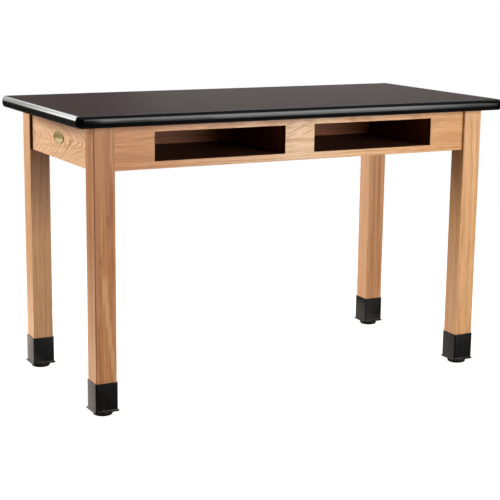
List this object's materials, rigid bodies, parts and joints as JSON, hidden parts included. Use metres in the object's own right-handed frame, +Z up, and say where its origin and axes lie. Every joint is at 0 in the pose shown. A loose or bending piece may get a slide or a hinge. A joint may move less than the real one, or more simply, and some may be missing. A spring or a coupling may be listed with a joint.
{
  "type": "science lab table",
  "caption": "Wooden laboratory table with a black edge-banded worktop, open book compartments and booted leveling legs.",
  "frame": {"origin": "on the floor under the middle of the table, glides screwed fully in", "axes": "+X along the table, +Y towards the back (the openings face -Y), +Z up"},
  "size_m": [1.295, 0.6096, 0.784],
  "materials": {
    "particle_board": "raw particle board",
    "black_laminate": "black high-pressure laminate, matt",
    "backing_sheet": "brown backing sheet",
    "black_edge_band": "black moulded vinyl, glossy",
    "ash_legs": "clear satin lacquer on solid ash",
    "ash_aprons": "clear satin lacquer on solid ash",
    "cleat_wood": "planed, unfinished",
    "dowel_wood": "turned, unfinished",
    "compartment_board": "stained plywood, matt",
    "hardboard": "tempered hardboard",
    "bracket_steel": "zinc plated, bent sheet",
    "zinc_steel": "zinc plated",
    "insert_metal": "cast zinc",
    "boot_rubber": "black moulded vinyl, satin",
    "glide_nylon": "black moulded nylon",
    "badge_brass": "aged brass, bare"
  },
  "bodies": {
    "table_frame": {"top_core": "particle_board", "top_laminate": "black_laminate", "top_backer": "backing_sheet", "top_edge_band": "black_edge_band", "leveler_inserts": "insert_metal", "apron_front": "ash_aprons", "apron_back": "ash_aprons", "apron_left": "ash_aprons", "apron_right": "ash_aprons", "apron_dowels": "dowel_wood", "cleat_left": "cleat_wood", "cleat_right": "cleat_wood", "cleat_back": "cleat_wood", "compartment_cleat_left": "cleat_wood", "compartment_cleat_middle": "cleat_wood", "compartment_cleat_right": "cleat_wood", "compartment_ledger": "cleat_wood", "hanger_bolts": "zinc_steel", "bolt_washers": "zinc_steel", "bolt_nuts": "zinc_steel", "top_screws": "zinc_steel", "cleat_screws": "zinc_steel", "compartment_screws": "zinc_steel", "bracket_screws": "zinc_steel", "badge_plate": "badge_brass", "left_compartment_floor": "hardboard", "left_compartment_inner_side": "compartment_board", "left_compartment_outer_side": "compartment_board", "left_compartment_back": "compartment_board", "right_compartment_floor": "hardboard", "right_compartment_inner_side": "compartment_board", "right_compartment_outer_side": "compartment_board", "right_compartment_back": "compartment_board", "leg_front_left": "ash_legs", "corner_bracket_front_left": "bracket_steel", "boot_front_left": "boot_rubber", "leg_front_right": "ash_legs", "corner_bracket_front_right": "bracket_steel", "boot_front_right": "boot_rubber", "leg_back_left": "ash_legs", "corner_bracket_back_left": "bracket_steel", "boot_back_left": "boot_rubber", "leg_back_right": "ash_legs", "corner_bracket_back_right": "bracket_steel", "boot_back_right": "boot_rubber"},
    "glide_front_left": {"glide_pad_front_left": "glide_nylon"},
    "stud_front_left": {"leveler_stud_front_left": "zinc_steel"},
    "glide_front_right": {"glide_pad_front_right": "glide_nylon"},
    "stud_front_right": {"leveler_stud_front_right": "zinc_steel"},
    "glide_back_left": {"glide_pad_back_left": "glide_nylon"},
    "stud_back_left": {"leveler_stud_back_left": "zinc_steel"},
    "glide_back_right": {"glide_pad_back_right": "glide_nylon"},
    "stud_back_right": {"leveler_stud_back_right": "zinc_steel"}
  },
  "joints": [
    {"name": "leveler_front_left_lift", "type": "slide", "parent": "table_frame", "child": "glide_front_left", "axis": [0, 0, -1], "range_m": [0, 0.01905]},
    {"name": "leveler_front_left_turn", "type": "hinge", "parent": "glide_front_left", "child": "stud_front_left", "pos_m": [-0.56593, -0.24422, 0], "axis": [0, 0, -1], "range_deg": [0, 4320]},
    {"name": "leveler_front_right_lift", "type": "slide", "parent": "table_frame", "child": "glide_front_right", "axis": [0, 0, -1], "range_m": [0, 0.01905]},
    {"name": "leveler_front_right_turn", "type": "hinge", "parent": "glide_front_right", "child": "stud_front_right", "pos_m": [0.56593, -0.24422, 0], "axis": [0, 0, -1], "range_deg": [0, 4320]},
    {"name": "leveler_back_left_lift", "type": "slide", "parent": "table_frame", "child": "glide_back_left", "axis": [0, 0, -1], "range_m": [0, 0.01905]},
    {"name": "leveler_back_left_turn", "type": "hinge", "parent": "glide_back_left", "child": "stud_back_left", "pos_m": [-0.56593, 0.24422, 0], "axis": [0, 0, -1], "range_deg": [0, 4320]},
    {"name": "leveler_back_right_lift", "type": "slide", "parent": "table_frame", "child": "glide_back_right", "axis": [0, 0, -1], "range_m": [0, 0.01905]},
    {"name": "leveler_back_right_turn", "type": "hinge", "parent": "glide_back_right", "child": "stud_back_right", "pos_m": [0.56593, 0.24422, 0], "axis": [0, 0, -1], "range_deg": [0, 4320]}
  ],
  "couplings": [
    {"joint": "leveler_front_left_turn", "follows": "leveler_front_left_lift", "rad_per_m": 3957.9},
    {"joint": "leveler_front_right_turn", "follows": "leveler_front_right_lift", "rad_per_m": 3957.9},
    {"joint": "leveler_back_left_turn", "follows": "leveler_back_left_lift", "rad_per_m": 3957.9},
    {"joint": "leveler_back_right_turn", "follows": "leveler_back_right_lift", "rad_per_m": 3957.9}
  ]
}
